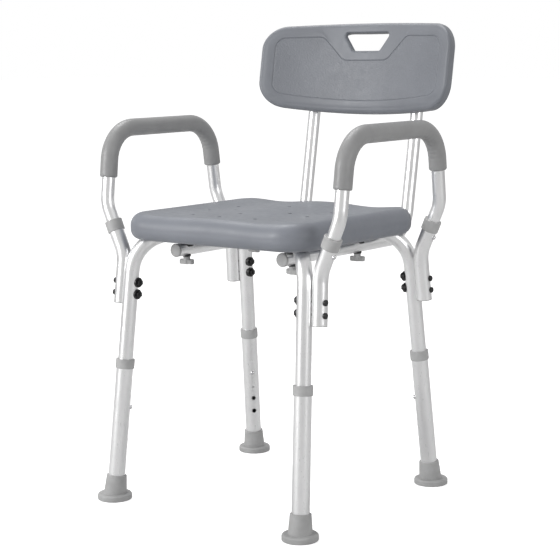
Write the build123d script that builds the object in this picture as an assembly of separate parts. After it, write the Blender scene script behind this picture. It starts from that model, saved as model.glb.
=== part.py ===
from build123d import *
import math
import os

# Height-adjustable shower chair: a blow-moulded seat and backrest on an aluminium tube frame.
# Millimetres. +X is the sitter's left, +Y the back, +Z up.
# Everything is laid out about the floor point midway between the four feet. The finished pieces are
# then moved together, so that the origin is on the floor at the middle of the whole chair's box.

# ---- driving dimensions -------------------------------------------------------------
# legs: each leg axis meets the floor a little outside the seat's edges and leans inward going up
foot_beyond_seat_x = 6.5
foot_beyond_seat_y = 15.0
lean_x = 0.041
lean_y = 0.103

# frame tubes: two inverted U tubes that cross under the seat
frame_r = 12.7
frame_wall = 1.4
frame_bend_r = 68.0
rail_z = 452.4
lap_half = 26.0
lap_taper = 26.0
lap_half_height = 6.1
lap_gap = 0.05
rivet_r = 4.0
rivet_head_r = 8.0
rivet_head_h = 1.8

# lower leg tubes, which slide over the ends of the frame tubes
leg_wall = 1.52
leg_slip = 0.08
leg_bottom_z = 7.0
leg_top_z = 238.0
collar_wall = 1.85
collar_h = 16.3
collar_above_leg = 3.65
collar_edge_r = 0.9

# leg height holes, and the snap buttons that lock them
hole_pitch = 25.0
hole_count = 6
top_hole_depth = 29.0
holes_above_button = 2
tube_end_below_button = 28.0
button_r = 3.9
button_slip = 0.1
button_proud = 3.2
button_dome_r = 2.6
button_stem_inside = 3.4
button_flange = 1.1
button_flange_h = 1.6
spring_width = 6.0
spring_thick = 0.7
spring_reach = 22.0

# rubber feet
sole_r = 29.4
sole_h = 10.5
sole_top_round = 3.6
sole_bottom_round = 1.4
ferrule_top_wall = 2.8
ferrule_base_wall = 6.2
ferrule_top_z = 41.5
foot_washer_h = 2.0
foot_washer_bore_r = 4.0

# seat: hollow blow-moulded panel, whose channels leave the rails a little proud of its underside
seat_width = 382.0
seat_depth = 360.0
seat_thick = 50.0
seat_corner_r = 57.0
seat_top_round = 21.0
seat_bottom_round = 17.0
seat_wall = 3.2
seat_dip_x = 100.0
seat_dip_depth = 3.4
seat_dip_half = 82.0
rail_proud = 4.3
channel_gap = 0.25
drain_r = 3.6
drain_arc_centre_y = 60.0
drain_front_arc = (200.0, (0.0, 19.0))
drain_middle_arc = (145.0, (0.0, 46.0))
drain_side_arc = (103.0, (34.0, 76.0))
drain_centre = (10.0, (0.0,))

# arm sockets, bolted to the outer sides of the legs: heights go up from the socket's bottom end
socket_wall = 1.5
socket_shift_y = 6.2
socket_touch_gap = 0.1
socket_below_rail = 116.9
socket_bend_up = 80.5
socket_top_up = 136.5
socket_bend_r = 62.0
arm_slope = 0.44
socket_collar_wall = 2.1
socket_collar_h = 19.5
socket_collar_lip = 1.6
socket_plug_h = 3.0
socket_plug_cap_h = 1.4
bolt_up = (16.5, 36.5)
bolt_r = 3.0
bolt_slip = 0.15
bolt_head_r = 5.0
bolt_head_h = 3.4
bolt_head_skirt = 0.6
bolt_past_nut = 1.2
saddle_r = 8.6
saddle_h = 2.2
nut_r = 5.6
nut_h = 4.6

# arms: inverted U tubes with foam pads
arm_r = 11.1
arm_wall = 1.3
arm_slip = 0.1
arm_insertion = 40.0
arm_button_depth = 23.5
arm_bend_above_socket = 29.6
arm_bend_r = 60.0
arm_rise = 128.0
arm_top_bend_r = 60.0
arm_top_lean_x = 0.015
arm_top_lean_y = 0.13
pad_thick = 3.9
pad_front_drop = 82.6
pad_rear_drop = 70.6
pad_fit = 0.05

# back tubes: L-shaped, clamped under the frame and rising behind the seat
back_tube_x = 112.0
back_tube_r = 11.1
back_tube_wall = 1.3
back_tube_front_y = -119.0
back_tube_plug_h = 3.4
back_tube_plug_rim = 0.3
back_tube_plug_round = 1.8
back_tube_plug_stem = 13.0
back_corner_y = 242.8
back_bend_r = 60.0
back_lean = math.radians(10.34)

# saddles, thumb knobs and their bolts, one set where each rail crosses a back tube
saddle_block_inset = 0.7
saddle_gap = 1.5
saddle_block_reach = 6.0
knob_bolt_r = 3.0
knob_bolt_slip = 0.3
knob_washer_r = 7.2
knob_washer_h = 1.8
knob_washer_hug = 2.6
knob_gap = 0.05
knob_neck_r = 5.8
knob_neck_h = 4.6
knob_bar_length = 27.0
knob_bar_width = 9.0
knob_bar_h = 8.6
knob_bar_turn = 12.0
knob_bar_round = 1.6
knob_floor = 3.0
insert_r = 5.0
insert_h = 12.0
insert_floor = 1.5
stud_short = 3.0

# backrest: hollow curved panel
panel_width = 408.0
panel_height = 146.0
panel_thick = 26.0
panel_front_r = 428.0
panel_corner_r = 43.0
panel_bottom_bulge = 9.0
panel_top_bulge = 7.0
panel_edge_r = 9.0
panel_wall = 3.2
panel_above_seat = 227.8
post_seat_depth = 8.1
post_gap = 0.15
post_end_depth = 29.4
slot_top_half = 46.5
slot_bottom_half = 26.5
slot_height = 30.0
slot_centre = 48.5
slot_corner_r = 7.0
slot_throat = 8.0
slot_flare = 14.0
back_screw_r = 2.4
back_screw_head_r = 4.6
back_screw_head_h = 2.6
back_screw_proud = 2.1
back_screw_offsets = (-52.0, 12.0)
back_insert_r = 4.4
back_insert_h = 9.0
back_insert_floor = 1.0
back_insert_gap = 0.2

# clearances of pieces that are pressed, moulded or laid into each other, and a drill's length
stem_fit = 0.02
moulded_fit = 0.03
drill_length = 80.0

# ---- values that follow ---------------------------------------------------------------
UP = Vector(0, 0, 1)
LEFT = Vector(1, 0, 0)
BACK = Vector(0, 1, 0)
QUADRANTS = {"front_right": (-1, -1), "front_left": (1, -1), "rear_right": (-1, 1), "rear_left": (1, 1)}
# The oval of a pressed lap keeps the round tube's girth.
lap_half_width = math.sqrt(2 * frame_r**2 - lap_half_height**2)
foot_x = seat_width / 2 + foot_beyond_seat_x
foot_y = seat_depth / 2 + foot_beyond_seat_y
leg_inner_r = frame_r + leg_slip
leg_r = leg_inner_r + leg_wall
button_z = leg_top_z - top_hole_depth - holes_above_button * hole_pitch
seat_bottom_z = rail_z - frame_r + rail_proud
seat_top_z = seat_bottom_z + seat_thick
socket_inner_r = arm_r + arm_slip
socket_r = socket_inner_r + socket_wall
socket_shift_x = math.sqrt((frame_r + socket_r + socket_touch_gap) ** 2 - socket_shift_y**2)
socket_bottom_z = rail_z - socket_below_rail
socket_bend_z = socket_bottom_z + socket_bend_up
socket_top_z = socket_bottom_z + socket_top_up
arm_bend_z = socket_top_z + arm_bend_above_socket
back_tube_z = rail_z - frame_r - saddle_gap - back_tube_r
panel_centre_z = seat_top_z + panel_above_seat
panel_rear_r = panel_front_r + panel_thick
panel_rear_y = post_seat_depth - back_tube_r + panel_rear_r - math.sqrt(panel_rear_r**2 - back_tube_x**2)
throat_y = panel_rear_y - panel_thick + slot_throat
post_end_up = panel_height / 2 - post_end_depth


# ---- helpers ----------------------------------------------------------------------------
def leg_point(height):
    """Point at a height on the axis of the rear leg on the +X side."""
    return Vector(foot_x - lean_x * height, foot_y - lean_y * height, height)


def socket_point(height):
    """Point at a height on the lower axis of that leg's arm socket."""
    return leg_point(height) + Vector(socket_shift_x, -socket_shift_y, 0)


def arm_point(height):
    """Point at a height on the slanted axis that the socket's top and the arm tube share."""
    return socket_point(socket_bend_z) + Vector(arm_slope, 0, 1) * (height - socket_bend_z)


leg_up = (leg_point(1) - leg_point(0)).normalized()
arm_up = Vector(arm_slope, 0, 1).normalized()
rail_corner = leg_point(rail_z)
rail_dir = Vector(-rail_corner.X, -rail_corner.Y, 0).normalized()
# The direction that a leg's snap button faces: towards the chair's middle, square to the leg.
button_dir = (rail_dir - leg_up * rail_dir.dot(leg_up)).normalized()
arm_button_dir = arm_up.cross(Vector(0, 1, 0)).normalized() * -1


def place(point, direction, turn=None):
    """Plane at a point whose z axis is the direction, and whose x axis is turn if one is given."""
    if turn is None:
        return Plane(origin=point, z_dir=direction)
    return Plane(origin=point, x_dir=turn, z_dir=direction)


def rod(start, direction, radius, length):
    """Round bar from a point along a direction."""
    return extrude(place(start, direction) * Circle(radius), length)


def drill(centre, direction, radius):
    """Round cutter that passes right through a tube, centred at a point on its axis."""
    return rod(centre - direction * (drill_length / 2), direction, radius, drill_length)


def bent_path(points, radii):
    """Wire through the corner points, with an arc of the given radius at each inner one."""
    edges = []
    here = points[0]
    for before, corner, after, radius in zip(points, points[1:], points[2:], radii):
        back = (before - corner).normalized()
        ahead = (after - corner).normalized()
        half = math.acos(max(-1, min(1, back.dot(ahead)))) / 2
        reach = radius / math.tan(half)
        centre = corner + (back + ahead).normalized() * (radius / math.sin(half))
        first = corner + back * reach
        last = corner + ahead * reach
        middle = centre + (corner - centre).normalized() * radius
        edges.append(Line(here, first))
        edges.append(ThreePointArc(first, middle, last))
        here = last
    edges.append(Line(here, points[-1]))
    return Wire([edge.edge() for edge in edges])


def bar_along(points, radii, radius):
    """Solid round bar along a bent path."""
    path = bent_path(points, radii)
    start = place(points[0], (points[1] - points[0]).normalized())
    return sweep(start * Circle(radius), path=path)


def tube_along(points, radii, radius, wall):
    """Round tube along a bent path, open at both ends."""
    return bar_along(points, radii, radius) - bar_along(points, radii, radius - wall)


def reflect(shape, side_x, side_y):
    """Copy of a piece made for the rear +X quadrant, moved to another quadrant."""
    if side_x < 0:
        shape = mirror(shape, about=Plane.YZ)
    if side_y < 0:
        shape = mirror(shape, about=Plane.XZ)
    return shape


def in_each_quadrant(shape):
    """Group of four mirrored copies, as separate solids."""
    solids = []
    for side_x, side_y in QUADRANTS.values():
        solids.extend(reflect(shape, side_x, side_y).solids())
    return Compound(children=solids)


def on_each_side(shape):
    """Group of a piece made on the +X side and its mirror image."""
    return Compound(children=list(shape.solids()) + list(mirror(shape, about=Plane.YZ).solids()))


# ---- frame tubes ------------------------------------------------------------------------
def frame_half(shrink, lap_side):
    """Solid of half a frame tube, from inside one leg to the pressed lap at the middle."""
    radius = frame_r - shrink
    taper_start = Vector(0, 0, rail_z) - rail_dir * (lap_half + lap_taper)
    taper_end = Vector(0, 0, rail_z + lap_side * (lap_half_height + lap_gap)) - rail_dir * lap_half
    start = leg_point(button_z - tube_end_below_button)
    bar = bar_along([start, rail_corner, taper_start], [frame_bend_r], radius)
    across = rail_dir.cross(UP)
    round_end = place(taper_start, rail_dir, across) * Circle(radius)
    flat_end = place(taper_end, rail_dir, across) * Ellipse(lap_half_width - shrink, lap_half_height - shrink)
    return bar + loft([round_end, flat_end]) + extrude(flat_end, lap_half)


def frame_tube(lap_side):
    """Inverted U tube over the rear +X leg and the front -X leg, pressed flat where it crosses the other."""
    outer = frame_half(0, lap_side)
    inner = frame_half(frame_wall, lap_side)
    half = outer - inner
    tube = half + half.rotate(Axis.Z, 180)
    holes = [
        rod(leg_point(button_z), button_dir, button_r + button_slip, 2 * frame_r),
        drill(knob_place(0), UP, knob_bolt_r + knob_bolt_slip),
        drill(bolt_line(0), LEFT, bolt_r + bolt_slip),
        drill(bolt_line(1), LEFT, bolt_r + bolt_slip),
    ]
    other_end = [hole.rotate(Axis.Z, 180) for hole in holes]
    return tube - holes - other_end - drill(UP * rail_z, UP, rivet_r + bolt_slip)


def knob_place(above):
    """Point above or below the crossing of the rail and the back tube, in the rear +X quadrant."""
    return Vector(back_tube_x, back_tube_x * rail_corner.Y / rail_corner.X, rail_z + above)


def bolt_line(row):
    """Point where a socket bolt's axis passes between the leg and the socket."""
    height = socket_bottom_z + bolt_up[row]
    return (leg_point(height) + socket_point(height)) * 0.5


def cross_rivet():
    """Rivet through both pressed laps, with a domed head at each end."""
    reach = 2 * lap_half_height + 3 * lap_gap
    middle = UP * rail_z
    shank = rod(middle - UP * reach, UP, rivet_r, 2 * reach)
    heads = [rod(middle + UP * reach * side, UP * side, rivet_head_r, rivet_head_h) for side in (-1, 1)]
    return shank + heads


# ---- lower legs -------------------------------------------------------------------------
def lower_leg():
    """Leg tube with a row of height holes that face the chair's middle."""
    start = leg_point(leg_bottom_z)
    length = (leg_top_z - leg_bottom_z) / leg_up.Z
    tube = rod(start, leg_up, leg_r, length) - rod(start, leg_up, leg_inner_r, length)
    first = leg_top_z - top_hole_depth
    holes = [
        rod(leg_point(first - n * hole_pitch), button_dir, button_r + button_slip, 2 * leg_r)
        for n in range(hole_count)
    ]
    return tube - holes


def leg_collar():
    """Plastic collar pressed over the leg tube's top, with a lip that guides the inner tube."""
    tube_top = leg_point(leg_top_z)
    bottom = tube_top + leg_up * (collar_above_leg - collar_h)
    body = rod(bottom, leg_up, leg_r + collar_wall, collar_h)
    rims = body.edges().filter_by(GeomType.CIRCLE)
    body = fillet(rims, collar_edge_r)
    seat = rod(bottom - leg_up, leg_up, leg_r, collar_h - collar_above_leg + 1)
    lip = rod(bottom - leg_up, leg_up, leg_inner_r, collar_h + 2)
    return body - seat - lip


def foot():
    """Rubber ferrule along the leg on a round sole that lies flat on the floor."""
    base = leg_point(0)
    top_length = ferrule_top_z / leg_up.Z
    base_cone = place(base, leg_up) * Circle(leg_r + ferrule_base_wall)
    top_cone = place(base + leg_up * top_length, leg_up) * Circle(leg_r + ferrule_top_wall)
    ferrule = loft([base_cone, top_cone])
    ferrule = fillet(ferrule.edges().filter_by(GeomType.CIRCLE).sort_by(Axis.Z)[-1], 1.0)
    sole = rod(base, UP, sole_r, sole_h)
    sole = fillet(sole.edges().sort_by(Axis.Z)[-1], sole_top_round)
    sole = fillet(sole.edges().sort_by(Axis.Z)[0], sole_bottom_round)
    below = Pos(base.X, base.Y, -sole_r) * Box(4 * sole_r, 4 * sole_r, 2 * sole_r)
    bore = rod(leg_point(leg_bottom_z - foot_washer_h), leg_up, leg_r, 2 * ferrule_top_z)
    return (ferrule - below) + sole - bore


def foot_washer():
    """Steel washer inside the ferrule that stops the tube's end cutting the rubber."""
    start = leg_point(leg_bottom_z - foot_washer_h)
    washer = rod(start, leg_up, leg_r - moulded_fit, foot_washer_h - moulded_fit)
    return washer - drill(start, leg_up, foot_washer_bore_r)


# ---- snap buttons -------------------------------------------------------------------------
def snap_button(centre, facing, tube_inner_r, outer_r):
    """Domed button on a flange that rests against the inside of its tube."""
    start = centre + facing * (tube_inner_r - button_stem_inside)
    height = outer_r + button_proud - tube_inner_r + button_stem_inside
    stem = rod(start, facing, button_r, height)
    rims = stem.edges().filter_by(GeomType.CIRCLE)
    outer_rim = rims.sort_by(lambda edge: (edge.arc_center - centre).dot(facing))[-1]
    stem = fillet(outer_rim, button_dome_r)
    return stem + rod(start, facing, button_r + button_flange, button_flange_h)


def snap_spring(centre, facing, along, tube_inner_r):
    """V-shaped spring strip inside the tube, pressing the button out and gripping the far wall."""
    side = facing.cross(along).normalized()
    plane = Plane(origin=centre - side * (spring_width / 2), x_dir=facing, z_dir=side)
    near = tube_inner_r - button_stem_inside - 0.1
    far = 1.0 - tube_inner_r
    middle = (near + far) / 2
    flat = button_r + 2
    up = 1 if plane.to_local_coords(centre + along).Y > 0 else -1
    outline = Polyline(
        (near, -flat * up),
        (near, flat * up),
        (middle, spring_reach * up),
        (far, 0),
        (far + spring_thick, 0),
        (middle, (spring_reach - 3 * spring_thick) * up),
        (near - spring_thick, flat * up),
        (near - spring_thick, -flat * up),
        close=True,
    )
    return extrude(plane * make_face(outline), spring_width)


# ---- arm sockets ----------------------------------------------------------------------------
def arm_button_centre():
    """Point on the arm tube's axis where its snap button sits."""
    return arm_point(socket_top_z - arm_button_depth)


def arm_socket():
    """Dog-leg tube bolted beside the leg, whose slanted top takes the arm tube."""
    corner = socket_point(socket_bend_z)
    points = [socket_point(socket_bottom_z), corner, arm_point(socket_top_z)]
    tube = tube_along(points, [socket_bend_r], socket_r, socket_wall)
    cuts = [rod(arm_button_centre(), arm_button_dir, button_r + button_slip, 2 * socket_r)]
    for row in range(2):
        cuts.append(drill(bolt_line(row), LEFT, bolt_r + bolt_slip))
    return tube - cuts


def socket_collar():
    """Plastic collar pressed over the socket's top, with a lip around the arm tube."""
    socket_top = arm_point(socket_top_z)
    bottom = socket_top - arm_up * (socket_collar_h - socket_collar_lip)
    body = rod(bottom, arm_up, socket_r + socket_collar_wall, socket_collar_h)
    body = fillet(body.edges().filter_by(GeomType.CIRCLE), collar_edge_r)
    seat = rod(bottom - arm_up, arm_up, socket_r, socket_collar_h - socket_collar_lip + 1)
    return body - seat - drill(socket_top, arm_up, arm_r + arm_slip)


def socket_plug():
    """Flat plastic plug in the socket's open bottom end."""
    end = socket_point(socket_bottom_z)
    below = end - leg_up * socket_plug_cap_h
    cap = rod(below, leg_up, socket_r, socket_plug_cap_h - stem_fit)
    return cap + rod(below, leg_up, socket_inner_r - stem_fit, socket_plug_cap_h + socket_plug_h)


def bolt_set(row):
    """One socket bolt, its saddle washer and its nut, in the rear +X quadrant."""
    middle = bolt_line(row)
    socket = socket_point(middle.Z)
    leg = leg_point(middle.Z)
    head_x = socket.X + math.sqrt(socket_r**2 - (socket.Y - middle.Y) ** 2) - middle.X
    saddle_x = leg.X - frame_r - middle.X
    head = rod(middle + LEFT * (head_x - bolt_head_skirt), LEFT, bolt_head_r, bolt_head_h + bolt_head_skirt)
    head = fillet(head.edges().filter_by(GeomType.CIRCLE).sort_by(Axis.X)[-1], bolt_head_h / 2)
    nut_x = saddle_x - saddle_h - nut_h
    shank_x = nut_x - bolt_past_nut
    shank = rod(middle + LEFT * shank_x, LEFT, bolt_r, head_x - shank_x)
    bolt = head - drill(socket, leg_up, socket_r) + shank
    washer = rod(middle + LEFT * (saddle_x - saddle_h), LEFT, saddle_r, saddle_h + saddle_r / 2)
    washer = washer - drill(leg, leg_up, frame_r + stem_fit) - drill(middle, LEFT, bolt_r + bolt_slip)
    nut = extrude(place(middle + LEFT * nut_x, LEFT) * RegularPolygon(nut_r, 6), nut_h)
    return bolt, washer, nut - drill(middle, LEFT, bolt_r + stem_fit)


# ---- arms -----------------------------------------------------------------------------------
def arm_corners():
    """Corner points of the +X arm's axis, from the rear socket over the top to the front one."""
    low = arm_point(socket_top_z - arm_insertion)
    bend = arm_point(arm_bend_z)
    top = bend + Vector(arm_top_lean_x, -arm_top_lean_y, 1) * arm_rise
    half = [low, bend, top]
    return half + [Vector(p.X, -p.Y, p.Z) for p in reversed(half)]


def arm_tube():
    """Bent arm tube with a button hole near each end."""
    radii = [arm_bend_r, arm_top_bend_r, arm_top_bend_r, arm_bend_r]
    tube = tube_along(arm_corners(), radii, arm_r, arm_wall)
    hole = rod(arm_button_centre(), arm_button_dir, button_r + button_slip, 2 * arm_r)
    return tube - hole - mirror(hole, about=Plane.XZ)


def arm_pad():
    """Foam sleeve over the arm's top and both of its bends."""
    rear_bend, rear_top, front_top, front_bend = arm_corners()[1:5]
    rear = rear_top + (rear_bend - rear_top) * (pad_rear_drop / arm_rise)
    front = front_top + (front_bend - front_top) * (pad_front_drop / arm_rise)
    points = [rear, rear_top, front_top, front]
    radii = [arm_top_bend_r, arm_top_bend_r]
    return bar_along(points, radii, arm_r + pad_thick) - bar_along(points, radii, arm_r + pad_fit)


# ---- back tubes, saddles and knobs -----------------------------------------------------------
def back_up():
    """Direction of the back tube's upright part."""
    return BACK * math.sin(back_lean) + UP * math.cos(back_lean)


def back_tube_point(height):
    """Point at a height on the +X back tube's upright axis."""
    corner = Vector(back_tube_x, back_corner_y, back_tube_z)
    return corner + back_up() * ((height - back_tube_z) / back_up().Z)


def back_tube():
    """L-shaped tube that runs under the frame and rises behind the seat."""
    corner = Vector(back_tube_x, back_corner_y, back_tube_z)
    front = Vector(back_tube_x, back_tube_front_y, back_tube_z)
    points = [front, corner, back_tube_point(panel_centre_z) + back_up() * post_end_up]
    tube = tube_along(points, [back_bend_r], back_tube_r, back_tube_wall)
    bolt_hole = drill(knob_place(0), UP, knob_bolt_r + knob_bolt_slip)
    cuts = [bolt_hole, mirror(bolt_hole, about=Plane.XZ)]
    for offset in back_screw_offsets:
        on_axis = back_tube_point(panel_centre_z) + back_up() * offset
        cuts.append(drill(on_axis, panel_rear(), back_screw_r + bolt_slip))
    return tube - cuts


def back_tube_plug():
    """Domed plastic plug in the back tube's front end."""
    end = Vector(back_tube_x, back_tube_front_y, back_tube_z)
    front = end - BACK * back_tube_plug_h
    cap = rod(front, BACK, back_tube_r + back_tube_plug_rim, back_tube_plug_h - stem_fit)
    cap = fillet(cap.edges().filter_by(GeomType.CIRCLE).sort_by(Axis.Y)[0], back_tube_plug_round)
    stem_r = back_tube_r - back_tube_wall - stem_fit
    return cap + rod(end - BACK, BACK, stem_r, back_tube_plug_stem)


def tube_saddle():
    """Plastic block hollowed on both sides, between a rail and a back tube."""
    crossing = knob_place(0)
    centre_z = (rail_z - frame_r + back_tube_z + back_tube_r) / 2
    height = 2 * saddle_block_reach + saddle_gap
    block = Pos(crossing.X, crossing.Y, centre_z) * Cylinder(frame_r - saddle_block_inset, height)
    rail = drill(crossing, rail_dir, frame_r + moulded_fit)
    tube = drill(Vector(back_tube_x, crossing.Y, back_tube_z), BACK, back_tube_r + moulded_fit)
    return block - rail - tube - drill(crossing, UP, knob_bolt_r + knob_bolt_slip)


def knob_washer():
    """Plastic washer under the back tube, hollowed to sit on it."""
    crossing = knob_place(0)
    bottom = Vector(crossing.X, crossing.Y, back_tube_z - back_tube_r - knob_washer_h)
    washer = rod(bottom, UP, knob_washer_r, knob_washer_h + knob_washer_hug)
    tube = drill(Vector(back_tube_x, crossing.Y, back_tube_z), BACK, back_tube_r + moulded_fit)
    return washer - tube - drill(bottom, UP, knob_bolt_r + bolt_slip)


def knob_bottom():
    """Middle of the knob's underside, placed so that its neck is just clear of its washer."""
    crossing = knob_place(0)
    neck_top = back_tube_z - back_tube_r - knob_washer_h - knob_gap
    return Vector(crossing.X, crossing.Y, neck_top - knob_neck_h - knob_bar_h)


def thumb_knob():
    """Plastic T-shaped thumb knob: a neck over a rounded bar."""
    bottom = knob_bottom()
    outline = Rot(0, 0, knob_bar_turn) * SlotOverall(knob_bar_length, knob_bar_width)
    bar = extrude(Pos(*bottom) * outline, knob_bar_h)
    bar = fillet(bar.edges().group_by(Axis.Z)[0] + bar.edges().group_by(Axis.Z)[-1], knob_bar_round)
    hub = rod(bottom, UP, knob_neck_r, knob_bar_h + knob_neck_h)
    return bar + hub - rod(bottom + UP * knob_floor, UP, knob_bolt_r, drill_length)


def knob_bolt():
    """Threaded stud moulded into the knob and screwed up into the seat's insert."""
    start = knob_bottom() + UP * knob_floor
    return rod(start, UP, knob_bolt_r, rail_z + frame_r + insert_h - stud_short - start.Z)


def seat_insert():
    """Brass nut moulded into the seat above a rail."""
    bottom = knob_place(frame_r + channel_gap)
    bore = rod(bottom - UP, UP, knob_bolt_r + 2 * stem_fit, insert_h + 1 - insert_floor)
    return rod(bottom, UP, insert_r, insert_h) - bore


# ---- seat -------------------------------------------------------------------------------------
def seat_block(inset):
    """Rounded slab of the seat's outline, shrunk on every side by the inset."""
    outline = RectangleRounded(seat_width - 2 * inset, seat_depth - 2 * inset, seat_corner_r - inset)
    slab = extrude(Pos(0, 0, seat_bottom_z + inset) * outline, seat_thick - 2 * inset)
    slab = fillet(slab.edges().group_by(Axis.Z)[-1], seat_top_round - inset)
    slab = fillet(slab.edges().group_by(Axis.Z)[0], seat_bottom_round - inset)
    return slab - [seat_dip(side, inset) for side in (-1, 1)]


def seat_dip(side, inset):
    """Cylinder along Y that presses a shallow dip into one side of the seat's top."""
    radius = (seat_dip_half**2 + seat_dip_depth**2) / (2 * seat_dip_depth)
    bottom = seat_top_z - seat_dip_depth - inset
    start = Vector(side * seat_dip_x, -seat_depth, bottom + radius)
    return rod(start, BACK, radius, 2 * seat_depth)


def rail_room(grow, lap_side):
    """Room in the seat's underside for one frame tube: its own shape, open downwards."""
    spread = channel_gap + grow
    radius = frame_r + spread
    half = frame_half(-spread, lap_side)
    corner_length = math.hypot(rail_corner.X, rail_corner.Y)
    turn = math.degrees(math.atan2(rail_dir.Y, rail_dir.X))
    below = seat_bottom_z - 2 * seat_wall
    long_slot = Rot(0, 0, turn) * SlotOverall(2 * (corner_length + radius), 2 * radius + channel_gap)
    lap_radius = lap_half_width + spread
    lap_slot = Rot(0, 0, turn) * SlotOverall(2 * (lap_half + lap_taper + lap_radius), 2 * lap_radius)
    slots = [extrude(Pos(0, 0, below) * outline, rail_z - below) for outline in (long_slot, lap_slot)]
    return half + half.rotate(Axis.Z, 180) + slots


def both_rail_rooms(grow):
    """Room for both frame tubes and the rivet's head where they cross."""
    lap_top = rail_z + 2 * (lap_half_height + lap_gap)
    head_room = Pos(0, 0, lap_top) * Cylinder(rivet_head_r + 1 + grow, 2 * (rivet_head_h + 1 + grow))
    return [rail_room(grow, 1), mirror(rail_room(grow, -1), about=Plane.YZ), head_room]


def drain_holes(grow):
    """Round drain holes on arcs about a point behind the seat's middle, the same on both sides."""
    holes = []
    for radius, angles in (drain_front_arc, drain_middle_arc, drain_side_arc, drain_centre):
        for angle in sorted({side * angle for angle in angles for side in (-1, 1)}):
            turn = math.radians(angle)
            x = radius * math.sin(turn)
            y = drain_arc_centre_y - radius * math.cos(turn)
            holes.append(drill(Vector(x, y, seat_top_z - seat_thick / 2), UP, drain_r + grow))
    return holes


def seat():
    """Hollow seat with rail channels, moulded-in posts for the inserts, and drain holes."""
    boss = rod(knob_place(0), UP, insert_r + seat_wall, drill_length)
    bosses = [reflect(boss, sx, sy) for sx, sy in QUADRANTS.values()]
    hollow = seat_block(seat_wall) - both_rail_rooms(seat_wall) - bosses - drain_holes(seat_wall)
    pocket = rod(knob_place(0), UP, insert_r, frame_r + channel_gap + insert_h)
    pockets = [reflect(pocket, sx, sy) for sx, sy in QUADRANTS.values()]
    return seat_block(0) - hollow - both_rail_rooms(0) - drain_holes(0) - pockets


# ---- backrest -----------------------------------------------------------------------------------
def panel_rear():
    """Direction square to the backrest, towards the back."""
    return BACK * math.cos(back_lean) - UP * math.sin(back_lean)


def panel_frame():
    """Location of the backrest's own frame: its z axis along the back tubes, its origin between them."""
    middle = back_tube_point(panel_centre_z)
    return Location((0, middle.Y, middle.Z), (-math.degrees(back_lean), 0, 0))


def panel_outline(inset):
    """Backrest outline in its own frame: straight sides, round corners, slightly bowed top and bottom."""
    half_w = panel_width / 2 - inset
    half_h = panel_height / 2 - inset
    radius = panel_corner_r - inset
    top = half_h + panel_top_bulge
    bottom = -half_h - panel_bottom_bulge
    edges = [
        Line((half_w, -half_h), (half_w, half_h)),
        ThreePointArc((half_w, half_h), (0, top), (-half_w, half_h)),
        Line((-half_w, half_h), (-half_w, -half_h)),
        ThreePointArc((-half_w, -half_h), (0, bottom), (half_w, -half_h)),
    ]
    face = make_face(edges)
    return fillet(face.vertices(), radius)


def slot_outline(grow, flare=0):
    """Hand slot outline: a trapezoid with round corners, wider at the top, its sides moved out by a flare."""
    top = slot_centre + slot_height / 2 + grow
    bottom = slot_centre - slot_height / 2 - grow
    corners = [
        (-slot_top_half - grow - flare, top),
        (-slot_bottom_half - grow - flare, bottom),
        (slot_bottom_half + grow + flare, bottom),
        (slot_top_half + grow + flare, top),
    ]
    face = make_face(Polyline(*corners, close=True))
    return fillet(face.vertices(), slot_corner_r + grow)


def upright_plane(depth):
    """Plane across the backrest's own frame at a depth, for faces drawn in X and height."""
    return Plane(origin=BACK * depth, x_dir=LEFT, z_dir=BACK * -1)


def through_panel(face):
    """Prism of a face drawn in X and height, run through the backrest from front to back."""
    return extrude(upright_plane(panel_front_r) * face, 2 * panel_front_r)


def hand_slot(grow):
    """Hand slot: straight from the front to its throat, then with sides that open towards the rear."""
    throat = upright_plane(throat_y) * slot_outline(grow)
    mouth = upright_plane(panel_rear_y) * slot_outline(grow, slot_flare)
    return through_panel(slot_outline(grow)) + loft([throat, mouth])


def panel_band(inset):
    """Curved slab between the backrest's front and rear faces, in its own frame."""
    centre_y = panel_rear_y - panel_rear_r
    bottom = Pos(0, centre_y, -panel_height)
    ring = Circle(panel_rear_r - inset) - Circle(panel_front_r + inset)
    keep = Pos(0, panel_rear_y, 0) * Box(2 * panel_rear_r, 2 * panel_rear_r, 4 * panel_height)
    return extrude(bottom * ring, 2 * panel_height) & keep


def backrest():
    """Hollow curved backrest with channels for the two tubes and a hand slot."""
    shell = through_panel(panel_outline(0)) & panel_band(0)
    rims = [edge for edge in shell.edges() if edge.length > panel_thick]
    shell = fillet(rims, panel_edge_r)
    posts = [Pos(side * back_tube_x, 0, 0) for side in (-1, 1)]
    room_h = panel_height + post_end_up + post_gap
    low = Pos(0, 0, -panel_height)
    upward = (Align.CENTER, Align.CENTER, Align.MIN)
    room = Cylinder(back_tube_r + post_gap, room_h, align=upward)
    wall = Cylinder(back_tube_r + panel_wall, room_h + panel_wall, align=upward)
    rooms = [post * low * room for post in posts]
    walls = [post * low * wall for post in posts]
    bosses = []
    pockets = []
    for post in posts:
        for offset in back_screw_offsets:
            front = post * Location((0, 0, offset), (90, 0, 0))
            pocket_h = back_tube_r + back_insert_h
            pockets.append(front * Cylinder(back_insert_r, pocket_h, align=upward))
            bosses.append(front * Cylinder(back_insert_r + panel_wall, drill_length, align=upward))
    hollow = (through_panel(panel_outline(panel_wall)) & panel_band(panel_wall)) - walls - bosses
    hollow = hollow - hand_slot(panel_wall)
    body = shell - hollow - rooms - hand_slot(0) - pockets
    return panel_frame() * body


def back_screw(offset):
    """Screw through the back tube from behind, into the backrest's brass insert."""
    on_axis = back_tube_point(panel_centre_z) + back_up() * offset
    front = panel_rear() * -1
    head_start = on_axis + panel_rear() * (back_tube_r + back_screw_proud)
    head = rod(head_start, front, back_screw_head_r, back_screw_head_h)
    length = back_screw_proud + 2 * back_tube_r + back_insert_h - back_insert_floor
    return head - drill(on_axis, back_up(), back_tube_r) + rod(head_start, front, back_screw_r, length)


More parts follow.
